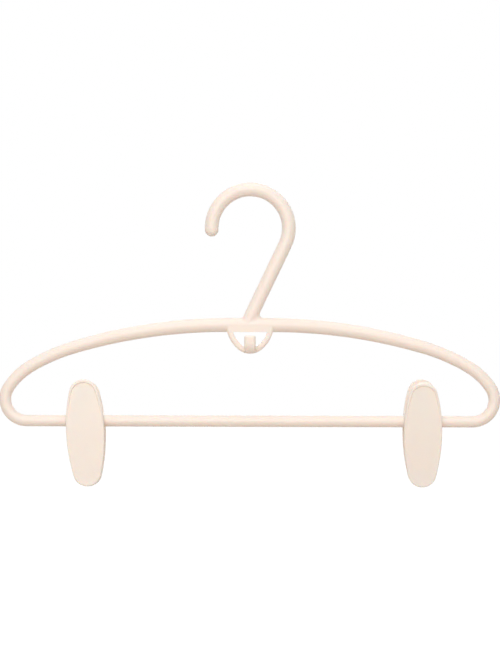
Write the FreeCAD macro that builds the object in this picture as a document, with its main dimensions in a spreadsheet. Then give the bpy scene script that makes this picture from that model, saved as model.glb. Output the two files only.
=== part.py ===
"""Child-size skirt hanger: one moulded frame and two sprung clips that slide on its lower bar.

Millimetres. The origin is the inner crown of the hook, where the wardrobe rail bears. +X runs
along the bar, +Y points to the back and +Z points up. Each clip is drawn in a frame of its own,
with the bar's axis as its X axis, and is then set in its place on the bar.
"""
import FreeCAD, Part
import Sketcher
import math
import os

ORIGIN_POINT = (-1, 1)
HORIZONTAL_AXIS = -1
VERTICAL_AXIS = -2
START = 1
END = 2
CENTRE = 3

SIZES = (
    ("hook_inner_radius", 19.0, "hook, inside radius that takes the rail"),
    ("hook_rod_radius", 4.15, "hook, rod radius"),
    ("hook_tip_drop", 1.0, "hook, straight run before the rounded tip"),
    ("stem_foot_shift", 2.1, "stem foot, distance to the left of the centre"),
    ("stem_fillet", 2.2, "stem foot, fillet to the arm"),
    ("arm_depth", 77.2, "arm axis below the origin, at the centre"),
    ("arm_rod_radius", 4.3, "arm, rod radius at the centre"),
    ("boss_half", 13.0, "arm, half length of the straight middle"),
    ("arm_bend_inner", 323.0, "arm, bend radius beside the straight middle"),
    ("arm_bend_middle", 118.0, "arm, bend radius of the shoulder"),
    ("arm_bend_outer", 40.8, "arm, bend radius before the end"),
    ("arm_bend_end", 13.1, "arm, bend radius round the end"),
    ("arm_inner_span", 16.5, "arm, angle turned by the first bend"),
    ("bar_depth", 134.9, "bar axis below the origin"),
    ("bar_rod_radius", 3.45, "bar, rod radius"),
    ("bar_half", 133.6, "bar, half length of the straight run"),
    ("loop_depth", 94.4, "loop, lowest point below the origin"),
    ("loop_bottom_radius", 11.0, "loop, outside radius of the bottom"),
    ("loop_bottom_span", 80.0, "loop, angle of the bottom arc"),
    ("loop_side_radius", 20.5, "loop, outside radius of the sides"),
    ("loop_wall", 3.3, "loop, width of the band"),
    ("loop_half_thick", 4.26, "loop, half thickness front to back"),
    ("loop_round", 1.4, "loop, rounded edges of the band"),
    ("window_top", 81.5, "loop window, straight top below the origin"),
    ("window_round", 0.4, "loop window, rounded edges"),
    ("peg_half_width", 3.5, "peg, half width where it leaves the loop"),
    ("peg_tip_half_width", 3.4, "peg, half width at the tip"),
    ("peg_thick", 3.4, "peg, thickness"),
    ("peg_reach", 12.4, "peg, front face in front of the middle plane"),
    ("peg_bend", 2.2, "peg, inside bend radius"),
    ("peg_bottom", 94.2, "peg, underside below the origin"),
    ("peg_top", 83.5, "peg, tip below the origin"),
    ("peg_round", 1.6, "peg, rounded edges"),
    ("peg_tip_round", 1.3, "peg, rounded tip"),
    ("jaw_half_width", 11.4, "jaw, greatest half width"),
    ("jaw_widest", 6.1, "jaw, widest place below the bar axis"),
    ("jaw_low", 39.3, "jaw, lower end below the bar axis"),
    ("jaw_low_radius", 8.45, "jaw, radius of the lower end"),
    ("jaw_high", 24.5, "jaw, upper end above the bar axis"),
    ("jaw_high_radius", 8.4, "jaw, radius of the upper end"),
    ("jaw_wall", 2.2, "jaw, wall thickness front to back"),
    ("jaw_round", 0.8, "jaw, rounded outer edges"),
    ("band_low", 41.0, "jaw wall before trimming, lower end below the bar axis"),
    ("band_low_out", 3.8, "jaw wall, outer face from the middle plane at the lower end"),
    ("band_high", 28.0, "jaw wall before trimming, upper end above the bar axis"),
    ("band_high_out", 12.0, "jaw wall, outer face from the middle plane at the upper end"),
    ("recess_depth", 1.15, "thumb recess, depth at the jaw's upper end"),
    ("recess_end", 6.0, "thumb recess, level below the bar axis where its floor runs out"),
    ("recess_slope", 30.0, "thumb recess, slope of its wall"),
    ("recess_cut", 2.0, "thumb recess, depth of the cut from its floor outwards"),
    ("lip_side", 1.25, "lip round the recess, width at the sides to the floor"),
    ("lip_top", 2.25, "lip round the recess, width at the top to the floor"),
    ("trim_half", 60.0, "half size of the block that trims a jaw to its outline"),
    ("lug_inner_radius", 5.15, "jaw lug, bore radius, loose enough for the clip to hang askew"),
    ("lug_outer_radius", 6.3, "jaw lug, outside radius"),
    ("lug_mouth_half", 50.0, "jaw lug, half angle of the open mouth"),
    ("lug_width", 2.5, "jaw lug, width along the bar"),
    ("lug_near", 4.5, "jaw lug, distance of the inner pair of lugs from the clip's middle"),
    ("lug_far", 7.3, "jaw lug, distance of the outer pair of lugs from the clip's middle"),
    ("lug_web_low", 6.0, "jaw lug, web's lower edge below the bar axis"),
    ("lug_web_front", 4.2, "jaw lug, web's lower corner from the middle plane"),
    ("lug_root_high", 8.2, "jaw lug, root inside the wall at the lug's top, from the middle plane"),
    ("lug_root_low", 6.8, "jaw lug, root inside the wall at the web's lower edge, from the middle plane"),
    ("ledge_low", 18.4, "spring ledge, underside above the bar axis"),
    ("ledge_thick", 1.1, "spring ledge, thickness"),
    ("ledge_front", 7.2, "spring ledge, edge from the middle plane"),
    ("ledge_root", 9.2, "spring ledge, root inside the wall"),
    ("ledge_half_width", 4.5, "spring ledge, half width"),
    ("sleeve_inner_radius", 3.5, "pivot sleeve, bore radius"),
    ("sleeve_outer_radius", 4.5, "pivot sleeve, outside radius"),
    ("sleeve_half", 10.9, "pivot sleeve, half length"),
    ("sleeve_collar_radius", 5.7, "pivot sleeve, collar radius"),
    ("sleeve_collar_width", 0.6, "pivot sleeve, collar width"),
    ("sleeve_span", 260.0, "pivot sleeve, angle of the split ring"),
    ("spring_half_width", 4.0, "leaf spring, half width"),
    ("spring_thick", 0.5, "leaf spring, thickness"),
    ("spring_low", 5.15, "leaf spring, lowest point of its middle line above the bar axis"),
    ("spring_bend", 2.75, "leaf spring, bend radius of its middle line"),
    ("spring_lean", 30.0, "leaf spring, lean of the arms from upright"),
    ("spring_arm", 10.7, "leaf spring, straight length of an arm"),
    ("spring_curl", 1.4, "leaf spring, radius of the curled ends"),
    ("spring_curl_span", 80.0, "leaf spring, angle of the curled ends"),
    ("grip_low", 37.4, "grip pad, lower edge below the bar axis"),
    ("grip_high", 27.0, "grip pad, upper edge below the bar axis"),
    ("grip_back_low", 1.96, "grip pad, back face from the middle plane at its lower edge"),
    ("grip_back_high", 3.2, "grip pad, back face from the middle plane at its upper edge"),
    ("grip_face", 0.15, "grip pad, gripping face from the middle plane"),
    ("grip_groove_depth", 0.7, "grip pad, depth of the cross grooves"),
    ("grip_groove_pitch", 2.4, "grip pad, spacing of the cross grooves"),
    ("grip_inset", 1.3, "grip pad, distance inside the jaw's outline"),
    ("left_clip_shift", 98.5, "left clip, distance to the left of the centre at rest"),
    ("left_clip_tilt", 2.8, "left clip, tilt of its upper end to the left at rest"),
    ("left_clip_lean", 4.0, "left clip, lean of its upper end to the back at rest"),
    ("right_clip_shift", 103.5, "right clip, distance to the right of the centre at rest"),
    ("right_clip_lean", 4.2, "right clip, lean of its upper end to the front at rest"),
)

# Cross grooves on a grip pad, and how close two lengths are when they count as the same.
GROOVE_COUNT = 3
NEAR = 0.01

# How far a jaw's outer face comes forward for each millimetre up.
FACE_SLOPE = "((sizes.band_high_out - sizes.band_low_out) / (sizes.band_high + sizes.band_low))"

doc = FreeCAD.newDocument("skirt_hanger")
sheet = doc.addObject("Spreadsheet::Sheet", "sizes")
for row, (alias, number, meaning) in enumerate(SIZES, start=1):
    sheet.set("A%d" % row, meaning)
    sheet.set("B%d" % row, str(number))
    sheet.setAlias("B%d" % row, alias)
doc.recompute()


def size(formula):
    """Work out a formula of sheet names, such as "sizes.jaw_wall * 2", as a plain number."""
    found = sheet.evalExpression(formula)
    return float(getattr(found, "Value", found))


def new_body(name):
    """Start a sub-part whose label is its node's name."""
    body = doc.addObject("PartDesign::Body", name)
    body.Label = name
    return body


def plane_of(body, role):
    """Find one of the body's own origin planes."""
    return next(part for part in body.Origin.OriginFeatures if part.Role == role)


def turned_about(axis, angle):
    """Give a turn about an axis through the origin, in degrees."""
    return FreeCAD.Placement(FreeCAD.Vector(), FreeCAD.Rotation(FreeCAD.Vector(*axis), angle))


def new_sketch(body, name, role, shift=None, lean=None):
    """Start a sketch on an origin plane, moved along its normal and leaning outwards by formulas."""
    sketch = body.newObject("Sketcher::SketchObject", name)
    sketch.AttachmentSupport = [(plane_of(body, role), "")]
    sketch.MapMode = "FlatFace"
    if lean:
        sketch.AttachmentOffset = turned_about((1, 0, 0), size(lean))
        sketch.setExpression("AttachmentOffset.Rotation.Angle", lean)
    if shift:
        sketch.setExpression("AttachmentOffset.Base.z", shift)
    return sketch


def point(x, y):
    """Give a sketch point."""
    return FreeCAD.Vector(x, y, 0)


def line(start, end):
    """Give a straight sketch edge."""
    return Part.LineSegment(point(*start), point(*end))


def arc(centre, radius, start, end):
    """Give a sketch arc that turns left from one angle to another, in degrees."""
    circle = Part.Circle(point(*centre), FreeCAD.Vector(0, 0, 1), radius)
    return Part.ArcOfCircle(circle, math.radians(start), math.radians(end))


def on_circle(centre, radius, angle):
    """Give the point of a circle at an angle in degrees."""
    turn = math.radians(angle)
    return centre[0] + radius * math.cos(turn), centre[1] + radius * math.sin(turn)


def dimension(sketch, kind, places, formula):
    """Add a driving dimension and bind it to the sheet."""
    value = size(formula)
    if kind == "Angle":
        value = math.radians(value)
    index = sketch.addConstraint(Sketcher.Constraint(kind, *places, value))
    sketch.setExpression("Constraints[%d]" % index, formula)


def place(sketch, edge, end, across=None, up=None):
    """Dimension a point from the sketch's origin; 0 keeps it on an axis."""
    ways = (("DistanceX", VERTICAL_AXIS, across), ("DistanceY", HORIZONTAL_AXIS, up))
    for kind, axis, formula in ways:
        if formula == "0":
            sketch.addConstraint(Sketcher.Constraint("PointOnObject", edge, end, axis))
        elif formula:
            dimension(sketch, kind, ORIGIN_POINT + (edge, end), formula)


def join(sketch, kind, *pairs):
    """Join pairs of edge ends, each (edge, end, edge, end), by a kind of constraint."""
    for pair in pairs:
        sketch.addConstraint(Sketcher.Constraint(kind, *pair))


def polygon(sketch, corners):
    """Draw a closed polygon; each corner is a pair of formulas, across and up."""
    places = [(size(across), size(up)) for across, up in corners]
    first = sketch.GeometryCount
    count = len(corners)
    for index in range(count):
        sketch.addGeometry(line(places[index], places[(index + 1) % count]))
    for index, (across, up) in enumerate(corners):
        following = first + (index + 1) % count
        join(sketch, "Coincident", (first + index, END, following, START))
        place(sketch, first + index, START, across, up)


def disc(sketch, radius, across, up):
    """Draw a circle whose centre and radius are formulas."""
    centre = point(size(across), size(up))
    sketch.addGeometry(Part.Circle(centre, FreeCAD.Vector(0, 0, 1), size(radius)))
    dimension(sketch, "Radius", (0,), radius)
    place(sketch, 0, CENTRE, across, up)


def pad(body, name, sketch, length, symmetric=True):
    """Pad a sketch by a formula, to both sides or along the sketch's normal."""
    feature = body.newObject("PartDesign::Pad", name)
    feature.Profile = sketch
    feature.SideType = "Symmetric" if symmetric else "One side"
    feature.setExpression("Length", length)
    return feature


def cut(body, name, sketch, length, symmetric=True):
    """Cut a sketch by a formula, to both sides or along its normal; it must take something away."""
    doc.recompute()
    before = body.Shape.Volume
    feature = body.newObject("PartDesign::Pocket", name)
    feature.Profile = sketch
    feature.SideType = "Symmetric" if symmetric else "One side"
    feature.Reversed = not symmetric
    feature.setExpression("Length", length)
    doc.recompute()
    if not body.Shape.Volume < before:
        raise RuntimeError(name + " cuts nothing")
    return feature


def pipe(body, name, profile, spine, sections=()):
    """Sweep a profile along a spine, through further sections where there are any."""
    feature = body.newObject("PartDesign::AdditivePipe", name)
    feature.Profile = profile
    feature.Spine = spine
    if sections:
        feature.Sections = list(sections)
        feature.Transformation = "Multisection"
    return feature


def mirror(body, name, features, role):
    """Mirror features in one of the body's origin planes."""
    feature = body.newObject("PartDesign::Mirrored", name)
    feature.Originals = list(features)
    feature.MirrorPlane = (plane_of(body, role), [""])
    body.Tip = feature
    return feature


def has_radius(edge, radii):
    """Tell whether an edge is an arc of one of the radii."""
    found = getattr(edge.Curve, "Radius", 0)
    return any(abs(found - radius) < NEAR for radius in radii)


def round_edges(body, name, radius, wanted):
    """Fillet the edges of the body so far for which the test holds."""
    doc.recompute()
    base = body.Tip
    edges = ["Edge%d" % number for number, edge in enumerate(base.Shape.Edges, start=1) if wanted(edge)]
    feature = body.newObject("PartDesign::Fillet", name)
    feature.Base = (base, edges)
    feature.setExpression("Radius", radius)
    return feature


def rounded_box(sketch, half, low, top, radius):
    """Draw a box with rounded corners, even about the sketch's vertical axis."""
    right = size(half)
    bottom = size(low)
    upper = size(top)
    corner = size(radius)
    sketch.addGeometry(line((right, bottom + corner), (right, upper - corner)))
    sketch.addGeometry(arc((right - corner, upper - corner), corner, 0, 90))
    sketch.addGeometry(line((right - corner, upper), (corner - right, upper)))
    sketch.addGeometry(arc((corner - right, upper - corner), corner, 90, 180))
    sketch.addGeometry(line((-right, upper - corner), (-right, bottom + corner)))
    sketch.addGeometry(arc((corner - right, bottom + corner), corner, 180, 270))
    sketch.addGeometry(line((corner - right, bottom), (right - corner, bottom)))
    sketch.addGeometry(arc((right - corner, bottom + corner), corner, 270, 360))
    join(sketch, "Tangent", *((edge, END, (edge + 1) % 8, START) for edge in range(8)))
    join(sketch, "Vertical", (0,), (4,))
    join(sketch, "Horizontal", (2,), (6,))
    for edge in (1, 3, 5, 7):
        dimension(sketch, "Radius", (edge,), radius)
    place(sketch, 0, START, half)
    place(sketch, 4, START, "-" + half)
    place(sketch, 2, START, None, top)
    place(sketch, 6, START, None, low)


def frame_peg(body):
    """Build the peg: a flat hook that comes forward from the loop's bottom, turns up and narrows."""
    low = "-sizes.peg_bottom"
    section = new_sketch(body, "peg_section", "XZ_Plane")
    rounded_box(section, "sizes.peg_half_width", low, low + " + sizes.peg_thick", "sizes.peg_round")

    bend = "sizes.peg_bend + sizes.peg_thick / 2"
    level = low + " + sizes.peg_thick / 2"
    front = "sizes.peg_thick / 2 - sizes.peg_reach"
    centre = (size(front) + size(bend), size(level) + size(bend))
    spine = new_sketch(body, "peg_path", "YZ_Plane")
    spine.addGeometry(line((0, size(level)), (centre[0], size(level))))
    spine.addGeometry(arc(centre, size(bend), 180, 270))
    spine.addGeometry(line((size(front), centre[1]), (size(front), -size("sizes.peg_top"))))
    join(spine, "Tangent", (0, END, 1, END), (1, START, 2, START))
    join(spine, "Horizontal", (0,))
    join(spine, "Vertical", (2,))
    dimension(spine, "Radius", (1,), bend)
    place(spine, 0, START, "0", level)
    place(spine, 2, END, front, "-sizes.peg_top")

    end_section = new_sketch(body, "peg_end_section", "XY_Plane", "-sizes.peg_top")
    face = "-sizes.peg_reach"
    back = face + " + sizes.peg_thick"
    rounded_box(end_section, "sizes.peg_tip_half_width", face, back, "sizes.peg_round")
    pipe(body, "peg", section, spine, [end_section])
    tip = -size("sizes.peg_top")
    clear = -size("sizes.loop_half_thick")

    def on_tip(edge):
        """Tell whether an edge borders the peg's upper end."""
        box = edge.BoundBox
        return box.ZLength < NEAR and abs(box.ZMax - tip) < NEAR and box.YMax < clear

    round_edges(body, "peg_tip", "sizes.peg_tip_round", on_tip)


def shield(sketch, inset, top):
    """Draw the loop's outline, drawn in by a formula and closed by a straight top edge.

    A bottom arc on the centre line runs into two wider side arcs, which meet the top edge.
    """
    bottom_radius = "(sizes.loop_bottom_radius - %s)" % inset
    side_radius = "(sizes.loop_side_radius - %s)" % inset
    centre_height = "sizes.loop_bottom_radius - sizes.loop_depth"
    centre = (0, size(centre_height))
    turn = size("sizes.loop_bottom_span") / 2 - 90
    touch = on_circle(centre, size(bottom_radius), turn)
    side_centre = on_circle(touch, -size(side_radius), turn)
    rise = math.degrees(math.asin((size(top) - side_centre[1]) / size(side_radius)))
    corner = on_circle(side_centre, size(side_radius), rise)

    sketch.addGeometry(arc(centre, size(bottom_radius), -180 - turn, turn))
    sketch.addGeometry(arc(side_centre, size(side_radius), turn, rise))
    sketch.addGeometry(line(corner, (-corner[0], corner[1])))
    sketch.addGeometry(arc((-side_centre[0], side_centre[1]), size(side_radius), 180 - rise, 180 - turn))
    join(sketch, "Tangent", (0, END, 1, START), (3, END, 0, START))
    join(sketch, "Coincident", (1, END, 2, START), (2, END, 3, START))
    join(sketch, "Horizontal", (0, START, 0, END), (2, START, 2, END))
    dimension(sketch, "Radius", (0,), bottom_radius)
    dimension(sketch, "Radius", (1,), side_radius)
    dimension(sketch, "Radius", (3,), side_radius)
    dimension(sketch, "Angle", (0,), "sizes.loop_bottom_span")
    place(sketch, 0, CENTRE, "0", centre_height)
    place(sketch, 2, START, None, top)


def frame_loop(body):
    """Build the loop below the arm: a band round a window with a straight top."""
    outline = new_sketch(body, "loop_outline", "XZ_Plane")
    shield(outline, "0", "-sizes.arm_depth")
    pad(body, "loop", outline, "2 * sizes.loop_half_thick")

    radii = [size("sizes.loop_%s_radius" % part) for part in ("bottom", "side")]
    wall = size("sizes.loop_wall")

    def on_outside(edge):
        """Tell whether an edge is a curved one round the front or back face."""
        return edge.BoundBox.YLength < NEAR and has_radius(edge, radii)

    round_edges(body, "loop_edges", "sizes.loop_round", on_outside)
    window = new_sketch(body, "window_outline", "XZ_Plane")
    shield(window, "sizes.loop_wall", "-sizes.window_top")
    cut(body, "window", window, "4 * sizes.loop_half_thick")

    def on_window(edge):
        """Tell whether an edge is a curved one round the window's front or back."""
        return edge.BoundBox.YLength < NEAR and has_radius(edge, [radius - wall for radius in radii])

    round_edges(body, "window_edges", "sizes.window_round", on_window)


def frame_arm(body):
    """Build the arched arm: a straight middle, then a tapering sweep that turns round into the bar."""
    depth = "-sizes.arm_depth"
    section = new_sketch(body, "boss_section", "YZ_Plane")
    disc(section, "sizes.arm_rod_radius", "0", depth)
    pad(body, "boss", section, "2 * sizes.boss_half")

    radii = [size("sizes.arm_bend_" + part) for part in ("inner", "middle", "outer", "end")]
    turned = size("sizes.arm_inner_span")
    inner_centre = (size("sizes.boss_half"), size(depth) - radii[0])
    end_centre = (size("sizes.bar_half"), radii[3] - size("sizes.bar_depth"))
    first_end = on_circle(inner_centre, radii[0], 90 - turned)
    middle_centre = on_circle(first_end, -radii[1], 90 - turned)
    gap = (end_centre[0] - middle_centre[0], end_centre[1] - middle_centre[1])
    to_middle = radii[1] - radii[2]
    to_end = radii[2] - radii[3]
    apart = math.hypot(*gap)
    along = (apart ** 2 + to_middle ** 2 - to_end ** 2) / (2 * apart * to_middle)
    second_angle = math.degrees(math.atan2(gap[1], gap[0]) + math.acos(along))
    outer_centre = on_circle(middle_centre, to_middle, second_angle)
    last_gap = (end_centre[0] - outer_centre[0], end_centre[1] - outer_centre[1])
    third_angle = math.degrees(math.atan2(last_gap[1], last_gap[0]))

    spine = new_sketch(body, "arm_path", "XZ_Plane")
    spine.addGeometry(arc(inner_centre, radii[0], 90 - turned, 90))
    spine.addGeometry(arc(middle_centre, radii[1], second_angle, 90 - turned))
    spine.addGeometry(arc(outer_centre, radii[2], third_angle, second_angle))
    spine.addGeometry(arc(end_centre, radii[3], -90, third_angle))
    join(spine, "Tangent", (0, START, 1, END), (1, START, 2, END), (2, START, 3, END))
    join(spine, "Vertical", (0, END, 0, CENTRE), (3, START, 3, CENTRE))
    place(spine, 0, END, "sizes.boss_half", depth)
    place(spine, 3, START, "sizes.bar_half", "-sizes.bar_depth")
    for edge, part in enumerate(("inner", "middle", "outer", "end")):
        dimension(spine, "Radius", (edge,), "sizes.arm_bend_" + part)
    dimension(spine, "Angle", (0,), "sizes.arm_inner_span")

    root = new_sketch(body, "arm_root", "YZ_Plane", "sizes.boss_half")
    disc(root, "sizes.arm_rod_radius", "0", depth)
    foot = new_sketch(body, "arm_foot", "YZ_Plane", "sizes.bar_half")
    disc(foot, "sizes.bar_rod_radius", "0", "-sizes.bar_depth")
    arm = pipe(body, "arm", root, spine, [foot])
    mirror(body, "arm_pair", [arm], "YZ_Plane")

    bar_section = new_sketch(body, "bar_section", "YZ_Plane")
    disc(bar_section, "sizes.bar_rod_radius", "0", "-sizes.bar_depth")
    pad(body, "bar", bar_section, "2 * sizes.bar_half")


def frame_hook(body):
    """Build the hook: a rounded tip, three quarters of a ring and a leaning stem down to the arm."""
    radius = "(sizes.hook_inner_radius + sizes.hook_rod_radius)"
    tip_height = "-(sizes.hook_inner_radius + sizes.hook_tip_drop)"
    centre = (0, -size("sizes.hook_inner_radius"))
    foot = (-size("sizes.stem_foot_shift"), -size("sizes.arm_depth"))
    reach = math.hypot(foot[0] - centre[0], foot[1] - centre[1])
    bearing = math.atan2(foot[1] - centre[1], foot[0] - centre[0])
    touch = math.degrees(bearing + math.acos(size(radius) / reach))

    spine = new_sketch(body, "hook_path", "XZ_Plane")
    spine.addGeometry(line((-size(radius), size(tip_height)), (-size(radius), centre[1])))
    spine.addGeometry(arc(centre, size(radius), touch, 180))
    spine.addGeometry(line(on_circle(centre, size(radius), touch), foot))
    join(spine, "Tangent", (0, END, 1, END), (1, START, 2, START))
    join(spine, "Vertical", (0,))
    dimension(spine, "Radius", (1,), radius)
    place(spine, 1, CENTRE, "0", "-sizes.hook_inner_radius")
    place(spine, 0, START, None, tip_height)
    place(spine, 2, END, "-sizes.stem_foot_shift", "-sizes.arm_depth")

    section = new_sketch(body, "hook_section", "XY_Plane", tip_height)
    disc(section, "sizes.hook_rod_radius", "-" + radius, "0")
    pipe(body, "hook", section, spine)

    dome = new_sketch(body, "tip_section", "XZ_Plane")
    dome.setExpression("AttachmentOffset.Base.x", "-" + radius)
    dome.setExpression("AttachmentOffset.Base.y", tip_height)
    rod = size("sizes.hook_rod_radius")
    dome.addGeometry(line((0, 0), (rod, 0)))
    dome.addGeometry(arc((0, 0), rod, -90, 0))
    dome.addGeometry(line((0, -rod), (0, 0)))
    join(dome, "Coincident", (0, END, 1, END), (1, START, 2, START), (2, END, 0, START))
    join(dome, "Coincident", (1, CENTRE, 0, START), (0, START) + ORIGIN_POINT)
    join(dome, "Horizontal", (0,))
    join(dome, "Vertical", (2,))
    dimension(dome, "Radius", (1,), "sizes.hook_rod_radius")
    tip = body.newObject("PartDesign::Revolution", "tip")
    tip.Profile = dome
    tip.ReferenceAxis = (dome, ["V_Axis"])
    tip.Angle = 360

    axis_height = -size("sizes.arm_depth")
    highest = axis_height + size("sizes.arm_rod_radius + sizes.stem_fillet")
    half = size("sizes.boss_half")

    def at_stem_foot(edge):
        """Tell whether an edge is where the stem enters the arm, above the arm's axis."""
        box = edge.BoundBox
        inside = box.XMin > NEAR - half and box.XMax < half - NEAR
        return inside and axis_height < box.ZMax < highest

    round_edges(body, "stem_foot", "sizes.stem_fillet", at_stem_foot)


def build_frame():
    """Build the hanger's frame, which is one moulding."""
    body = new_body("hanger_frame")
    frame_loop(body)
    frame_peg(body)
    frame_arm(body)
    frame_hook(body)
    return body


def egg(sketch, inset="0", drop="0"):
    """Draw the jaws' long oval, drawn in by one formula, with its upper end lowered by another.

    Two round ends and four long side arcs meet where it is widest. A side arc touches the widest
    line upright and runs into an end arc, which fixes its radius.
    """
    half = "(sizes.jaw_half_width - %s)" % inset
    widest = "-sizes.jaw_widest"
    width = size(half)
    level = size(widest)

    def one_end(sign, apex, radius):
        """Work out an end's centre height and radius, and its side arcs' radius and turn."""
        tip = size("%s - %s" % (apex, inset))
        round_radius = size("%s - %s" % (radius, inset))
        reach = tip - sign * level
        side = (width ** 2 + reach ** 2 - 2 * reach * round_radius) / (2 * (width - round_radius))
        lean = math.degrees(math.atan2(reach - round_radius, side - width))
        return sign * (tip - round_radius), round_radius, side, lean

    high = "sizes.jaw_high - (%s)" % drop
    high_centre, high_round, high_side, high_lean = one_end(1, high, "sizes.jaw_high_radius")
    low_centre, low_round, low_side, low_lean = one_end(-1, "sizes.jaw_low", "sizes.jaw_low_radius")
    sketch.addGeometry(arc((width - high_side, level), high_side, 0, high_lean))
    sketch.addGeometry(arc((0, high_centre), high_round, high_lean, 180 - high_lean))
    sketch.addGeometry(arc((high_side - width, level), high_side, 180 - high_lean, 180))
    sketch.addGeometry(arc((low_side - width, level), low_side, 180, 180 + low_lean))
    sketch.addGeometry(arc((0, low_centre), low_round, 180 + low_lean, 360 - low_lean))
    sketch.addGeometry(arc((width - low_side, level), low_side, -low_lean, 0))
    join(sketch, "Tangent", *((edge, END, (edge + 1) % 6, START) for edge in range(6)))
    join(sketch, "Horizontal", (0, START, 0, CENTRE), (3, START, 3, CENTRE))
    dimension(sketch, "Radius", (1,), "sizes.jaw_high_radius - " + inset)
    dimension(sketch, "Radius", (4,), "sizes.jaw_low_radius - " + inset)
    place(sketch, 1, CENTRE, "0", high + " - sizes.jaw_high_radius")
    place(sketch, 4, CENTRE, "0", "sizes.jaw_low_radius - sizes.jaw_low")
    place(sketch, 0, START, half, widest)
    place(sketch, 3, START, "-" + half, widest)


def trim_to_egg(body, name, inset="0"):
    """Cut away everything outside the jaws' oval, seen from the front."""
    sketch = new_sketch(body, name + "_outline", "XZ_Plane")
    egg(sketch, inset)
    far = "sizes.trim_half"
    polygon(sketch, ((far, far), ("-" + far, far), ("-" + far, "-" + far), (far, "-" + far)))
    cut(body, name, sketch, far)


def jaw_wall(body):
    """Build a jaw's wall: a flat oval plate that leans outwards to its upper end, with a round rim."""
    section = new_sketch(body, "wall_section", "YZ_Plane")
    low = "-sizes.band_low"
    high = "sizes.band_high"
    outer_low = "-sizes.band_low_out"
    outer_high = "-sizes.band_high_out"
    inner_low = outer_low + " + sizes.jaw_wall"
    inner_high = outer_high + " + sizes.jaw_wall"
    polygon(section, ((outer_low, low), (inner_low, low), (inner_high, high), (outer_high, high)))
    pad(body, "wall", section, "4 * sizes.jaw_half_width")
    trim_to_egg(body, "oval")
    slope = size(FACE_SLOPE)

    def on_outer_face(edge):
        """Tell whether an edge borders the outer face."""
        middle = edge.valueAt((edge.FirstParameter + edge.LastParameter) / 2)
        outward = size("sizes.band_low_out") + slope * (middle.z + size("sizes.band_low"))
        return abs(middle.y + outward) < NEAR

    round_edges(body, "rim", "sizes.jaw_round", on_outer_face)


def thumb_recess(body):
    """Cut the shallow recess of a jaw's outer face, which leaves a lip round the upper end.

    Its floor is a little less steep than the face, deepest at the top, and runs out lower down.
    """
    slope = "(%s - sizes.recess_depth / (sizes.jaw_high + sizes.recess_end))" % FACE_SLOPE
    face_at_end = "sizes.band_low_out + %s * (sizes.band_low - sizes.recess_end)" % FACE_SLOPE
    floor_at_bar = "%s + %s * sizes.recess_end" % (face_at_end, slope)
    floor = new_sketch(body, "recess_outline", "XZ_Plane", floor_at_bar, "atan(%s)" % slope)
    egg(floor, "sizes.lip_side", "sizes.lip_top - sizes.lip_side")
    recess = cut(body, "recess", floor, "sizes.recess_cut", symmetric=False)
    recess.setExpression("TaperAngle", "sizes.recess_slope")


def jaw_lug(body, name, start):
    """Build a lug: an open ring that hugs the pivot sleeve, with a web back to the wall."""
    inner = size("sizes.lug_inner_radius")
    outer = size("sizes.lug_outer_radius")
    mouth = size("sizes.lug_mouth_half") - 90
    root_high = -size("sizes.lug_root_high")
    root_low = -size("sizes.lug_root_low")
    low = -size("sizes.lug_web_low")
    web = -size("sizes.lug_web_front")
    far_lip = on_circle((0, 0), inner, 180 - mouth)

    sketch = new_sketch(body, name + "_section", "YZ_Plane", start)
    sketch.addGeometry(arc((0, 0), outer, mouth, 90))
    sketch.addGeometry(line((0, outer), (root_high, outer)))
    sketch.addGeometry(line((root_high, outer), (root_low, low)))
    sketch.addGeometry(line((root_low, low), (web, low)))
    sketch.addGeometry(line((web, low), far_lip))
    sketch.addGeometry(arc((0, 0), inner, mouth, 180 - mouth))
    sketch.addGeometry(line(on_circle((0, 0), inner, mouth), on_circle((0, 0), outer, mouth)))
    join(sketch, "Coincident", *((edge, END, edge + 1, START) for edge in range(4)))
    join(sketch, "Coincident", (4, END, 5, END), (5, START, 6, START), (6, END, 0, START))
    join(sketch, "Coincident", (0, CENTRE) + ORIGIN_POINT, (5, CENTRE) + ORIGIN_POINT)
    join(sketch, "Horizontal", (1,), (3,), (5, START, 5, END))
    join(sketch, "PointOnObject", ORIGIN_POINT + (6,))
    dimension(sketch, "Radius", (0,), "sizes.lug_outer_radius")
    dimension(sketch, "Radius", (5,), "sizes.lug_inner_radius")
    dimension(sketch, "Angle", (5,), "360 - 2 * sizes.lug_mouth_half")
    place(sketch, 0, END, "0")
    place(sketch, 2, START, "-sizes.lug_root_high")
    place(sketch, 2, END, "-sizes.lug_root_low")
    place(sketch, 3, END, "-sizes.lug_web_front", "-sizes.lug_web_low")
    pad(body, name, sketch, "sizes.lug_width", symmetric=False)


def build_jaw(name):
    """Build one jaw of a clip: a long oval wall with two lugs and a ledge for the spring."""
    body = new_body(name)
    jaw_wall(body)
    thumb_recess(body)
    jaw_lug(body, "near_lug", "sizes.lug_near")
    jaw_lug(body, "far_lug", "-sizes.lug_far - sizes.lug_width")

    ledge = new_sketch(body, "ledge_section", "YZ_Plane")
    root = "-sizes.ledge_root"
    front = "-sizes.ledge_front"
    low = "sizes.ledge_low"
    top = "sizes.ledge_low + sizes.ledge_thick"
    polygon(ledge, ((root, low), (front, low), (front, top), (root, top)))
    pad(body, "ledge", ledge, "2 * sizes.ledge_half_width")
    return body


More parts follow.
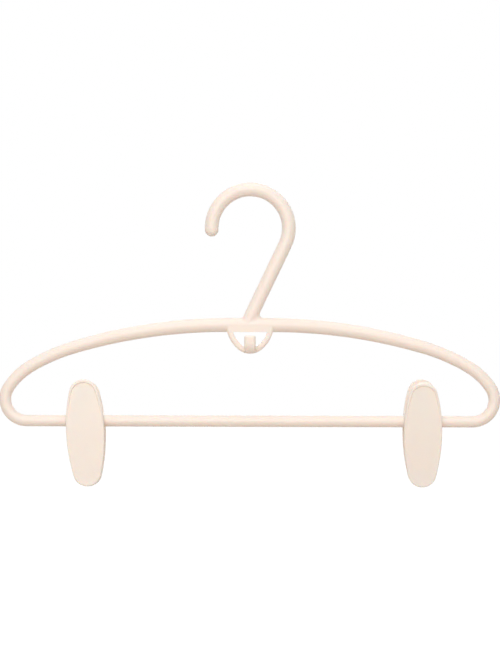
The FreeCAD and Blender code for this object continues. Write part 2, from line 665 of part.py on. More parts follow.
def build_grip(name):
    """Build a grip pad: a soft wedge with cross grooves on its gripping face."""
    body = new_body(name)
    section = new_sketch(body, "grip_section", "YZ_Plane")
    face = "-sizes.grip_face"
    floor = "-sizes.grip_face - sizes.grip_groove_depth"
    half_pitch = "sizes.grip_groove_pitch / 2"
    corners = [("-sizes.grip_back_low", "-sizes.grip_low"), (face, "-sizes.grip_low")]
    for groove in range(GROOVE_COUNT):
        middle = "-sizes.grip_low + sizes.grip_groove_pitch * %s" % (groove + 1)
        corners.append((face, "%s - %s / 2" % (middle, half_pitch)))
        corners.append((floor, middle))
        corners.append((face, "%s + %s / 2" % (middle, half_pitch)))
    corners += [(face, "-sizes.grip_high"), ("-sizes.grip_back_high", "-sizes.grip_high")]
    polygon(section, corners)
    pad(body, "grip", section, "4 * sizes.jaw_half_width")
    trim_to_egg(body, "grip_oval", "sizes.grip_inset")
    return body


def build_sleeve(name):
    """Build the pivot sleeve: a split bush with end collars that snaps on the bar."""
    body = new_body(name)
    end = "sizes.sleeve_half"
    neck = "(sizes.sleeve_half - sizes.sleeve_collar_width)"
    bore = "sizes.sleeve_inner_radius"
    wall = "sizes.sleeve_outer_radius"
    collar = "sizes.sleeve_collar_radius"
    section = new_sketch(body, "sleeve_section", "XZ_Plane")
    right = [(end, bore), (end, collar), (neck, collar), (neck, wall)]
    left = [("-" + across, up) for across, up in reversed(right)]
    polygon(section, right + left)
    ring = body.newObject("PartDesign::Revolution", "ring")
    ring.Profile = section
    ring.ReferenceAxis = (section, ["H_Axis"])
    ring.Midplane = True
    ring.setExpression("Angle", "sizes.sleeve_span")
    return body


def build_spring(name):
    """Build the leaf spring: a strip bent to a V over the sleeve, with curled ends under the ledges."""
    body = new_body(name)
    bend = size("sizes.spring_bend")
    lean = size("sizes.spring_lean")
    curl = size("sizes.spring_curl")
    centre = (0, size("sizes.spring_low") + bend)
    arm_start = on_circle(centre, bend, -lean)
    arm_end = on_circle(arm_start, size("sizes.spring_arm"), 90 - lean)
    curl_centre = on_circle(arm_end, -curl, -lean)

    spine = new_sketch(body, "spring_path", "YZ_Plane")
    spine.addGeometry(arc(centre, bend, -90, -lean))
    spine.addGeometry(line(arm_start, arm_end))
    spine.addGeometry(arc(curl_centre, curl, -lean, size("sizes.spring_curl_span") - lean))
    join(spine, "Tangent", (0, END, 1, START), (1, END, 2, START))
    place(spine, 0, START, "0", "sizes.spring_low")
    place(spine, 0, CENTRE, "0")
    dimension(spine, "Radius", (0,), "sizes.spring_bend")
    dimension(spine, "Angle", (0,), "90 - sizes.spring_lean")
    dimension(spine, "Distance", (1,), "sizes.spring_arm")
    dimension(spine, "Radius", (2,), "sizes.spring_curl")
    dimension(spine, "Angle", (2,), "sizes.spring_curl_span")

    strip = new_sketch(body, "strip_section", "XZ_Plane")
    side = "sizes.spring_half_width"
    low = "sizes.spring_low - sizes.spring_thick / 2"
    top = "sizes.spring_low + sizes.spring_thick / 2"
    polygon(strip, ((side, low), (side, top), ("-" + side, top), ("-" + side, low)))
    arm = pipe(body, "rear_arm", strip, spine)
    mirror(body, "front_arm", [arm], "XZ_Plane")
    return body


def build_clip(side, shift, tilt, lean):
    """Build a clip's pieces and set them on the bar, tilted to the left and leaning to the front."""
    upright = FreeCAD.Placement(FreeCAD.Vector(shift, 0, -size("sizes.bar_depth")), FreeCAD.Rotation())
    front = upright.multiply(turned_about((0, 1, 0), -tilt)).multiply(turned_about((1, 0, 0), lean))
    rear = front.multiply(turned_about((0, 0, 1), 180))

    sleeve = build_sleeve(side + "_clip_sleeve")
    sleeve.Placement = upright
    spring = build_spring(side + "_clip_spring")
    spring.Placement = front
    pieces = [sleeve, spring]
    for end, placement in (("front", front), ("rear", rear)):
        jaw = build_jaw("%s_clip_%s_jaw" % (side, end))
        grip = build_grip("%s_clip_%s_grip" % (side, end))
        jaw.Placement = placement
        grip.Placement = placement
        pieces += [jaw, grip]
    return pieces


def check_model(pieces):
    """Stop unless every object was rebuilt and every sub-part is one valid solid."""
    failed = [item.Name for item in doc.Objects if "Invalid" in item.State or "Error" in item.State]
    if failed:
        raise RuntimeError("not rebuilt: " + ", ".join(failed))
    for piece in pieces:
        shape = piece.Shape
        if shape.isNull() or not shape.isValid() or len(shape.Solids) != 1:
            raise RuntimeError(piece.Label + " is not one valid solid")


def write_parts(pieces):
    """Write each sub-part to a file named by its label."""
    os.makedirs("parts", exist_ok=True)
    for piece in pieces:
        piece.Shape.exportStep("parts/%s.step" % piece.Label)
        print("%-24s %9.1f mm3" % (piece.Label, piece.Shape.Volume))


def main():
    """Build every sub-part, check the model and write it."""
    pieces = [build_frame()]
    left = size("-sizes.left_clip_shift")
    right = size("sizes.right_clip_shift")
    pieces += build_clip("left", left, size("sizes.left_clip_tilt"), size("-sizes.left_clip_lean"))
    pieces += build_clip("right", right, 0, size("sizes.right_clip_lean"))
    doc.recompute()
    check_model(pieces)
    write_parts(pieces)


main()
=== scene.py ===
"""Dressed model of a child-size skirt hanger: one moulded frame and two sprung clips on its lower bar.

Metres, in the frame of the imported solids. The origin is the inner crown of the hook, +X runs along
the bar, +Y points to the back and +Z points up.
"""
import logging
import math
from dataclasses import dataclass
from enum import Enum
from typing import Dict, List, Optional, Sequence, Tuple, Union

import bpy
import numpy as np
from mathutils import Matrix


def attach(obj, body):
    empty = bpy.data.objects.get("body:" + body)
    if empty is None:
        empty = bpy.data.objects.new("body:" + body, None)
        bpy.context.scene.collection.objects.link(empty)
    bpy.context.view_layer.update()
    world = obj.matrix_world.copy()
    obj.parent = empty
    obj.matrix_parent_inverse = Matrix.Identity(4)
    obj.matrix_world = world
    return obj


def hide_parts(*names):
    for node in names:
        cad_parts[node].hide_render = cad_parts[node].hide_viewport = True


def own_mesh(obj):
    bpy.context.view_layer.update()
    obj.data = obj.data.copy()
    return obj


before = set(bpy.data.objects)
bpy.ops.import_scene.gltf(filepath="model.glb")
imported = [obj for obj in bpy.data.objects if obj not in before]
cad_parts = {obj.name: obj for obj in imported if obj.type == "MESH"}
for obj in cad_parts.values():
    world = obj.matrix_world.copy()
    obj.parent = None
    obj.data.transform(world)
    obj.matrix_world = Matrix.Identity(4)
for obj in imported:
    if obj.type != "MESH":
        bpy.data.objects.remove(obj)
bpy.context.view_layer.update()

LOG = logging.getLogger("skirt_hanger")
MM = 0.001

# Sockets of a Mix node that mixes colours.
MIX_SHARE = 0
MIX_FIRST = 6
MIX_SECOND = 7
MIX_RESULT = 2

Colour = Tuple[float, float, float]
Point = Tuple[float, float, float]
Surface = Tuple[np.ndarray, List[List[int]]]
Operand = Union["Value", float]
Feed = Union["Value", bpy.types.NodeSocket, float, Sequence[float]]


class Value:
    """A number in a shader: a socket whose arithmetic adds Math nodes."""

    def __init__(self, tree: bpy.types.NodeTree, socket: bpy.types.NodeSocket) -> None:
        """Keep the socket and the tree that it belongs to."""
        self.tree = tree
        self.socket = socket

    def combine(self, operation: str, first: Operand, second: Operand) -> "Value":
        """Add a Math node.

        Args:
            operation: The Math node's operation.
            first: Its first operand.
            second: Its second operand.

        Returns:
            The node's result.
        """
        node = self.tree.nodes.new("ShaderNodeMath")
        node.operation = operation
        for socket, operand in zip(node.inputs, (first, second)):
            if isinstance(operand, Value):
                self.tree.links.new(operand.socket, socket)
            else:
                socket.default_value = operand
        return Value(self.tree, node.outputs[0])

    def __add__(self, other: Operand) -> "Value":
        """Give self + other."""
        return self.combine("ADD", self, other)

    def __radd__(self, other: Operand) -> "Value":
        """Give other + self."""
        return self.combine("ADD", other, self)

    def __sub__(self, other: Operand) -> "Value":
        """Give self - other."""
        return self.combine("SUBTRACT", self, other)

    def __rsub__(self, other: Operand) -> "Value":
        """Give other - self."""
        return self.combine("SUBTRACT", other, self)

    def __mul__(self, other: Operand) -> "Value":
        """Give self * other."""
        return self.combine("MULTIPLY", self, other)

    def __rmul__(self, other: Operand) -> "Value":
        """Give other * self."""
        return self.combine("MULTIPLY", other, self)

    def __abs__(self) -> "Value":
        """Give the size of self without its sign."""
        return self.combine("ABSOLUTE", self, 0.0)

    def most(self, other: Operand) -> "Value":
        """Give the larger of self and other."""
        return self.combine("MAXIMUM", self, other)


class Recipe:
    """A node tree that is being written, for a material or for the surround."""

    def __init__(self, owner: Union[bpy.types.Material, bpy.types.World]) -> None:
        """Empty the owner's node tree."""
        owner.use_nodes = True
        self.owner = owner
        self.tree = owner.node_tree
        self.tree.nodes.clear()

    def node(self, kind: str, settings: Optional[Dict[str, object]] = None,
             feeds: Optional[Dict[Union[str, int], Feed]] = None) -> bpy.types.Node:
        """Add a node.

        Args:
            kind: The node's type.
            settings: Attributes of the node, which are set first.
            feeds: What goes into its sockets, by name or number: a link or a constant.

        Returns:
            The node.
        """
        node = self.tree.nodes.new(kind)
        for name, setting in (settings or {}).items():
            setattr(node, name, setting)
        for name, feed in (feeds or {}).items():
            socket = node.inputs[name]
            if isinstance(feed, Value):
                self.tree.links.new(feed.socket, socket)
            elif isinstance(feed, bpy.types.NodeSocket):
                self.tree.links.new(feed, socket)
            else:
                socket.default_value = feed
        return node

    def value(self, node: bpy.types.Node, output: Union[str, int] = 0) -> Value:
        """Take a node's output as a number to reckon with."""
        return Value(self.tree, node.outputs[output])

    def place(self) -> bpy.types.NodeSocket:
        """Give the coordinates of a point of the object."""
        return self.node("ShaderNodeTexCoord").outputs["Object"]

    def noise(self, place: bpy.types.NodeSocket, scale: float, detail: float) -> Value:
        """Add a noise pattern.

        Args:
            place: The coordinates that it lies on.
            scale: Features to a metre.
            detail: Finer layers.

        Returns:
            A number about 0.5.
        """
        feeds = {"Vector": place, "Scale": scale, "Detail": detail}
        return self.value(self.node("ShaderNodeTexNoise", None, feeds))

    def step(self, number: Value, low: float, high: float) -> Value:
        """Add a smooth step.

        Args:
            number: The number to grade.
            low: Where the step starts from 0.
            high: Where it reaches 1.

        Returns:
            A number from 0 to 1.
        """
        settings = {"interpolation_type": "SMOOTHSTEP"}
        feeds = {"Value": number, "From Min": low, "From Max": high}
        return self.value(self.node("ShaderNodeMapRange", settings, feeds))

    def tint(self, share: Value, low: Colour, high: Colour) -> bpy.types.NodeSocket:
        """Mix two colours.

        Args:
            share: 0 for the first colour, 1 for the second.
            low: The first colour.
            high: The second colour.

        Returns:
            The mixed colour.
        """
        settings = {"data_type": "RGBA"}
        feeds = {MIX_SHARE: share, MIX_FIRST: (*low, 1.0), MIX_SECOND: (*high, 1.0)}
        return self.node("ShaderNodeMix", settings, feeds).outputs[MIX_RESULT]

    def bump(self, height: Value, strength: float, rise: float) -> bpy.types.NodeSocket:
        """Turn heights into a normal.

        Args:
            height: The height, as a share of the rise.
            strength: How strongly it shows.
            rise: The height of 1, in metres.

        Returns:
            The normal.
        """
        feeds = {"Strength": strength, "Distance": rise, "Height": height}
        return self.node("ShaderNodeBump", None, feeds).outputs[0]

    def finish(self, shader: bpy.types.Node, output: str = "ShaderNodeOutputMaterial") -> None:
        """Lead a shader to the tree's output."""
        self.node(output, None, {"Surface": shader.outputs[0]})


@dataclass(frozen=True)
class MouldedPlastic:
    """Satin moulded plastic with a faint grain and a faint drift of tone.

    Attributes:
        name: The material's name.
        tone: Its colour.
        drift: How far the tone drifts, as a share.
        gloss: Its mean roughness.
        gloss_swing: How far the roughness varies from its least to its most.
        seam: Height of the mould's parting line on the middle plane, as a share of the rise, or 0 for none.
        seam_flat: Half the width of the parting line's crest.
        seam_foot: Half the width of its foot.
        warm_fade: How much of the drift each colour channel loses where the tone is warm.
        pale_gain: How much of the drift each channel gains where the tone is pale.
        broad_scale: Clouds of tone to a metre.
        broad_share: The clouds' share of the drift. The mottle has the rest.
        mottle_scale: Mottles to a metre.
        grain_scale: Grains to a metre.
        grain_share: The grain's share of the height. The mottle has the rest.
        bump: How strongly the height shows.
        rise: The height of 1.
        refraction: Its index of refraction.
        scatter: The share of light that spreads under the surface.
        scatter_reach: How far red, green and blue spread, as shares.
        scatter_depth: How far light spreads.
    """

    name: str
    tone: Colour
    drift: float = 0.03
    gloss: float = 0.46
    gloss_swing: float = 0.12
    seam: float = 0.0
    seam_flat: float = 0.05 * MM
    seam_foot: float = 0.22 * MM
    warm_fade: Colour = (0.0, 1.0, 1.7)
    pale_gain: Colour = (0.3, 0.7, 1.0)
    broad_scale: float = 28.0
    broad_share: float = 0.8
    mottle_scale: float = 420.0
    grain_scale: float = 2600.0
    grain_share: float = 0.6
    bump: float = 0.9
    rise: float = 0.1 * MM
    refraction: float = 1.53
    scatter: float = 0.35
    scatter_reach: Colour = (1.0, 0.55, 0.35)
    scatter_depth: float = 3.0 * MM

    def material(self) -> bpy.types.Material:
        """Write the material: noise drives tone, roughness and grain, and |y| the parting line.

        Returns:
            The material.
        """
        recipe = Recipe(bpy.data.materials.new(self.name))
        place = recipe.place()
        broad = recipe.noise(place, self.broad_scale, detail=1.0)
        mottle = recipe.noise(place, self.mottle_scale, detail=2.0)
        grain = recipe.noise(place, self.grain_scale, detail=2.0)
        warm = tuple(c * (1.0 - self.drift * k) for c, k in zip(self.tone, self.warm_fade))
        pale = tuple(min(1.0, c * (1.0 + self.drift * k)) for c, k in zip(self.tone, self.pale_gain))
        pattern = broad * self.broad_share + mottle * (1.0 - self.broad_share)
        height = grain * self.grain_share + mottle * (1.0 - self.grain_share)
        if self.seam:
            parts = recipe.node("ShaderNodeSeparateXYZ", None, {0: place})
            off_plane = abs(recipe.value(parts, "Y"))
            ridge = 1.0 - recipe.step(off_plane, self.seam_flat, self.seam_foot)
            height = height + ridge * self.seam
        shader = recipe.node("ShaderNodeBsdfPrincipled", {"subsurface_method": "RANDOM_WALK"}, {
            "Base Color": recipe.tint(pattern, warm, pale),
            "Roughness": self.gloss - self.gloss_swing / 2 + mottle * self.gloss_swing,
            "Normal": recipe.bump(height, self.bump, self.rise),
            "IOR": self.refraction,
            "Subsurface Weight": self.scatter,
            "Subsurface Radius": self.scatter_reach,
            "Subsurface Scale": self.scatter_depth,
        })
        recipe.finish(shader)
        return recipe.owner


@dataclass(frozen=True)
class GripRubber:
    """Firm matt rubber of the grips.

    Attributes:
        name: The material's name.
        tone: Its colour.
        dull_share: The duller tone as a share of the colour.
        cloud_scale: Clouds of tone to a metre.
        grain_scale: Grains to a metre.
        bump: How strongly the grain shows.
        rise: The grain's height.
        gloss: Its least roughness.
        gloss_swing: How far the roughness rises above that.
        refraction: Its index of refraction.
    """

    name: str
    tone: Colour
    dull_share: float = 0.86
    cloud_scale: float = 160.0
    grain_scale: float = 1900.0
    bump: float = 0.9
    rise: float = 0.12 * MM
    gloss: float = 0.66
    gloss_swing: float = 0.16
    refraction: float = 1.5

    def material(self) -> bpy.types.Material:
        """Write the material: a fine speckled grain on a matt body.

        Returns:
            The material.
        """
        recipe = Recipe(bpy.data.materials.new(self.name))
        place = recipe.place()
        grain = recipe.noise(place, self.grain_scale, detail=3.0)
        cloud = recipe.noise(place, self.cloud_scale, detail=2.0)
        dull = tuple(c * self.dull_share for c in self.tone)
        shader = recipe.node("ShaderNodeBsdfPrincipled", None, {
            "Base Color": recipe.tint(cloud, dull, self.tone),
            "Roughness": self.gloss + grain * self.gloss_swing,
            "Normal": recipe.bump(grain, self.bump, self.rise),
            "IOR": self.refraction,
        })
        recipe.finish(shader)
        return recipe.owner


@dataclass(frozen=True)
class SpringSteel:
    """Rolled spring steel strip, drawn along its length.

    Attributes:
        name: The material's name.
        tone: Its colour.
        dark_share: The darker tone as a share of the colour.
        cloud_scale: Clouds of tone to a metre.
        line_scale: Rolling lines to a metre, across the strip.
        line_stretch: The scale of the lines along X, Y and Z, as shares.
        line_share: The lines' share of the tone. The clouds have the rest.
        bump: How strongly the lines show.
        rise: The lines' height.
        gloss: Its least roughness.
        gloss_swing: How far the roughness rises above that.
    """

    name: str
    tone: Colour
    dark_share: float = 0.8
    cloud_scale: float = 240.0
    line_scale: float = 5200.0
    line_stretch: Point = (1.0, 0.04, 0.04)
    line_share: float = 0.6
    bump: float = 0.2
    rise: float = 0.01 * MM
    gloss: float = 0.26
    gloss_swing: float = 0.14

    def material(self) -> bpy.types.Material:
        """Write the material: rolling lines, which are noise that is fine across the strip only.

        Returns:
            The material.
        """
        recipe = Recipe(bpy.data.materials.new(self.name))
        place = recipe.place()
        stretched = recipe.node("ShaderNodeMapping", None, {"Vector": place, "Scale": self.line_stretch})
        lines = recipe.noise(stretched.outputs[0], self.line_scale, detail=3.0)
        cloud = recipe.noise(place, self.cloud_scale, detail=2.0)
        dark = tuple(c * self.dark_share for c in self.tone)
        pattern = lines * self.line_share + cloud * (1.0 - self.line_share)
        shader = recipe.node("ShaderNodeBsdfPrincipled", None, {
            "Base Color": recipe.tint(pattern, dark, self.tone),
            "Metallic": 1.0,
            "Roughness": self.gloss + lines * self.gloss_swing,
            "Normal": recipe.bump(lines, self.bump, self.rise),
        })
        recipe.finish(shader)
        return recipe.owner


FRAME_PLASTIC = MouldedPlastic("satin_frame_plastic", (0.945, 0.828, 0.748), gloss=0.4, seam=1.0)
CLIP_PLASTIC = MouldedPlastic("satin_clip_plastic", (0.995, 0.866, 0.790), drift=0.032, gloss=0.5)
SLEEVE_PLASTIC = MouldedPlastic("satin_sleeve_plastic", (0.93, 0.82, 0.73), gloss=0.38)
PAD_RUBBER = GripRubber("pad_rubber", (0.80, 0.71, 0.63))
STRIP_STEEL = SpringSteel("strip_steel", (0.66, 0.66, 0.67))


def arc_points(centre: Sequence[float], radius: float, start: float, end: float, count: int) -> np.ndarray:
    """Sample an arc: centre + radius * (cos, sin) of angles evenly from start to end.

    Args:
        centre: The arc's centre.
        radius: The arc's radius.
        start: The first angle, in degrees.
        end: The last angle, in degrees.
        count: How many points.

    Returns:
        The points, count by 2.
    """
    angles = np.radians(np.linspace(start, end, count))
    return np.array(centre) + radius * np.stack([np.cos(angles), np.sin(angles)], axis=1)


def rounded_strip(half_width: float, half_thick: float, count: int) -> np.ndarray:
    """Give a strip's section: two half circles of the half thickness, joined by straight edges.

    Args:
        half_width: Half the strip's width.
        half_thick: Half its thickness.
        count: Points on each half circle.

    Returns:
        The section's points in turn, each (across, up).
    """
    inner = half_width - half_thick
    right = arc_points((inner, 0.0), half_thick, -90.0, 90.0, count)
    left = arc_points((-inner, 0.0), half_thick, 90.0, 270.0, count)
    return np.concatenate([right, left])


def loop_faces(rows: int, columns: int) -> List[List[int]]:
    """Give the faces that join a row of closed loops, with one face over each end.

    Args:
        rows: How many loops.
        columns: How many points a loop has.

    Returns:
        The faces, turned outwards where the loops run counterclockwise seen from the last one.
    """
    number = np.arange(rows * columns).reshape(rows, columns)
    follow = np.roll(number, -1, axis=1)
    quads = np.stack([number[:-1], follow[:-1], follow[1:], number[1:]], axis=-1).reshape(-1, 4)
    return quads.tolist() + [number[0, ::-1].tolist(), number[-1].tolist()]


def carry(section: np.ndarray, path: np.ndarray, across: np.ndarray) -> Surface:
    """Carry a closed section along a flat path.

    A point of the surface is path + section[0] * across + section[1] * up, where up is the path's
    direction crossed with across. Both ends are closed with one face each.

    Args:
        section: The section's points, each (across, up).
        path: The path's points.
        across: The direction that every section has in common.

    Returns:
        The vertices and the faces.
    """
    ahead = np.gradient(path, axis=0)
    ahead /= np.linalg.norm(ahead, axis=1, keepdims=True)
    up = np.cross(ahead, across)
    spots = path[:, None] + section[None, :, :1] * across + section[None, :, 1:] * up[:, None]
    return spots.reshape(-1, 3), loop_faces(*spots.shape[:2])


def new_piece(name: str, surface: Surface, crease: float) -> bpy.types.Object:
    """Make an object at the origin from a surface.

    Args:
        name: The piece's name.
        surface: Its points in the hanger's frame, and its faces, turned outwards.
        crease: The angle in degrees past which an edge is crisp.

    Returns:
        The object.
    """
    vertices, faces = surface
    mesh = bpy.data.meshes.new(name)
    mesh.from_pydata(vertices.tolist(), [], faces)
    mesh.shade_smooth()
    mesh.set_sharp_from_angle(angle=math.radians(crease))
    mesh.update()
    piece = bpy.data.objects.new(name, mesh)
    bpy.context.scene.collection.objects.link(piece)
    return piece


def dress(piece: bpy.types.Object, material: bpy.types.Material) -> None:
    """Give a piece one material and report it."""
    piece.data.materials.clear()
    piece.data.materials.append(material)
    LOG.info("%s is dressed in %s", piece.name, material.name)


class Side(Enum):
    """The side of the hanger that a clip hangs on, seen from the front."""

    LEFT = "left"
    RIGHT = "right"


class End(Enum):
    """The jaw of a clip that a piece belongs to."""

    FRONT = "front"
    REAR = "rear"


@dataclass(frozen=True)
class SpringForm:
    """The form of the leaf spring: a strip bent to a V over the bar, with curled ends.

    Attributes:
        half_width: Half the strip's width.
        half_thick: Half its thickness.
        foot: Height of the foot's middle line above the bar's axis.
        bend: Radius of the foot's bend.
        spread: How far each arm leans out, in degrees.
        arm: Length of an arm's straight part.
        curl: Radius of an arm's curled end.
        curl_span: How far the end curls, in degrees.
        edge_points: Points on each round edge of the strip.
        curve_points: Points on an arm's half of the bend, and on its curl.
        arm_points: Points on an arm's straight part, ends included.
        crease: The angle in degrees past which an edge is crisp.
    """

    half_width: float = 4.0 * MM
    half_thick: float = 0.25 * MM
    foot: float = 5.15 * MM
    bend: float = 2.75 * MM
    spread: float = 30.0
    arm: float = 10.7 * MM
    curl: float = 1.4 * MM
    curl_span: float = 80.0
    edge_points: int = 7
    curve_points: int = 13
    arm_points: int = 10
    crease: float = 40.0

    def path(self) -> np.ndarray:
        """Give the strip's middle line: a round foot, two straight arms and two curled ends.

        Returns:
            Points of the clip's own frame, from the front end to the rear end.
        """
        spread = math.radians(self.spread)
        bend = arc_points((0.0, self.foot + self.bend), self.bend, -90.0, -self.spread, self.curve_points)
        arm_end = bend[-1] + self.arm * np.array([math.sin(spread), math.cos(spread)])
        centre = arm_end - self.curl * np.array([math.cos(spread), -math.sin(spread)])
        curl = arc_points(centre, self.curl, -self.spread, self.curl_span - self.spread, self.curve_points)
        along = np.linspace(0.0, 1.0, self.arm_points)[1:-1, None]
        arm = bend[-1] + along * (arm_end - bend[-1])
        rear = np.concatenate([bend, arm, curl])
        front = rear[:0:-1] * np.array([-1.0, 1.0])
        flat = np.concatenate([front, rear])
        return np.concatenate([np.zeros((len(flat), 1)), flat], axis=1)

    def surface(self) -> Surface:
        """Carry the strip's round-edged section along its middle line.

        Returns:
            The vertices in the clip's own frame, and the faces.
        """
        section = rounded_strip(self.half_width, self.half_thick, self.edge_points)
        return carry(section, self.path(), np.array([1.0, 0.0, 0.0]))


@dataclass(frozen=True)
class GripForm:
    """The form of a rear jaw's rubber grip: a round-edged block with rounded ribs across its face.

    Depths run down from the bar's axis, and the face and back are measured from the middle plane.

    Attributes:
        top: Depth of its upper end.
        bottom: Depth of its lower end.
        face: Its gripping face.
        back_top: Its back at the upper end.
        back_bottom: Its back at the lower end.
        groove_depth: Depth of a groove between two ribs.
        groove_pitch: Distance from groove to groove.
        groove_half: Half a groove's width.
        groove_count: How many grooves.
        edge: Radius of its edges.
        half_width: Half its outline's width where that is widest.
        widest: Depth where the outline is widest.
        side_radius: Radius of the outline's long sides.
        end_radius: Radius of the outline's lower end.
        end_centre: Depth of that end's centre.
        end_levels: Levels along the round edge of each end.
        rib_levels: Levels between the two round edges, which are counted in.
        corner_points: Points on a corner of a level.
        crease: The angle in degrees past which an edge is crisp.
    """

    top: float = 27.0 * MM
    bottom: float = 37.4 * MM
    face: float = 0.15 * MM
    back_top: float = 3.2 * MM
    back_bottom: float = 1.96 * MM
    groove_depth: float = 0.7 * MM
    groove_pitch: float = 2.4 * MM
    groove_half: float = 0.75 * MM
    groove_count: int = 3
    edge: float = 0.35 * MM
    half_width: float = 10.1 * MM
    widest: float = 6.1 * MM
    side_radius: float = 112.45 * MM
    end_radius: float = 7.15 * MM
    end_centre: float = 30.85 * MM
    end_levels: int = 7
    rib_levels: int = 150
    corner_points: int = 5
    crease: float = 60.0

    def outline(self, depths: np.ndarray) -> np.ndarray:
        """Give half the outline's width at some depths: a long side arc, then the round lower end.

        Args:
            depths: Where to measure.

        Returns:
            Half the width at each depth.
        """
        off_widest = depths - self.widest
        side = np.sqrt(self.side_radius ** 2 - off_widest ** 2) + self.half_width - self.side_radius
        end = np.sqrt(np.clip(self.end_radius ** 2 - (depths - self.end_centre) ** 2, 0.0, None))
        slant = (self.end_centre - self.widest) / (self.side_radius - self.end_radius)
        return np.where(depths < self.end_centre + self.end_radius * slant, side, end)

    def groove(self, rise: np.ndarray) -> np.ndarray:
        """Give the depth of groove at some heights: a cosine dip about the middle of each groove.

        Args:
            rise: Heights above the lower end.

        Returns:
            The depth at each height.
        """
        middles = self.groove_pitch * np.arange(1, self.groove_count + 1)
        off = np.clip(np.abs(rise[:, None] - middles) / self.groove_half, 0.0, 1.0)
        return self.groove_depth * np.sum(0.5 + 0.5 * np.cos(math.pi * off), axis=1)

    def levels(self) -> Tuple[np.ndarray, np.ndarray]:
        """Give the levels of the block, which is drawn in along a quarter circle near both ends.

        Returns:
            The heights above the lower end, and how far each level is drawn in.
        """
        length = self.bottom - self.top
        near_end = self.edge * (1.0 - np.cos(np.linspace(0.0, math.pi / 2, self.end_levels)))
        between = np.linspace(self.edge, length - self.edge, self.rib_levels)[1:-1]
        rise = np.concatenate([near_end, between, length - near_end[::-1]])
        short = np.clip(self.edge - np.minimum(rise, length - rise), 0.0, None)
        return rise, self.edge - np.sqrt(self.edge ** 2 - short ** 2)

    def surface(self) -> Surface:
        """Stack rectangles with round corners from the lower end to the upper one.

        A corner's point is the corner's centre + edge * (cos, sin) of an angle in its quarter turn.

        Returns:
            The vertices in the clip's own frame, and the faces.
        """
        rise, drawn_in = self.levels()
        depths = self.bottom - rise
        face = self.face + self.groove(rise) + drawn_in
        back = np.interp(depths, [self.top, self.bottom], [self.back_top, self.back_bottom]) - drawn_in
        half = self.outline(depths) - drawn_in
        quarter = np.linspace(0.0, math.pi / 2, self.corner_points)
        angles = np.concatenate([quarter + start * math.pi / 2 for start in range(4)])
        right = np.repeat([1.0, -1.0, -1.0, 1.0], self.corner_points)
        rear = np.repeat([1.0, 1.0, -1.0, -1.0], self.corner_points)
        across = (half - self.edge)[:, None] * right + self.edge * np.cos(angles)
        inner = ((back - face) / 2 - self.edge)[:, None] * rear + self.edge * np.sin(angles)
        outward = (face + back)[:, None] / 2 + inner
        down = np.broadcast_to(-depths[:, None], across.shape)
        spots = np.stack([across, outward, down], axis=-1)
        return spots.reshape(-1, 3), loop_faces(*across.shape)


@dataclass
class HangerFrame:
    """The moulded frame: hook, arm, bar, loop and peg.

    Attributes:
        node: The name of its solid.
    """

    node: str = "hanger_frame"

    def dress(self) -> None:
        """Give the frame its plastic."""
        dress(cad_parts[self.node], FRAME_PLASTIC.material())


@dataclass(frozen=True)
class ClipMaterials:
    """The materials that the clips share.

    Attributes:
        plastic: For the jaws.
        sleeve: For the pivot sleeves.
        rubber: For the grips.
        steel: For the leaf springs.
    """

    plastic: bpy.types.Material
    sleeve: bpy.types.Material
    rubber: bpy.types.Material
    steel: bpy.types.Material


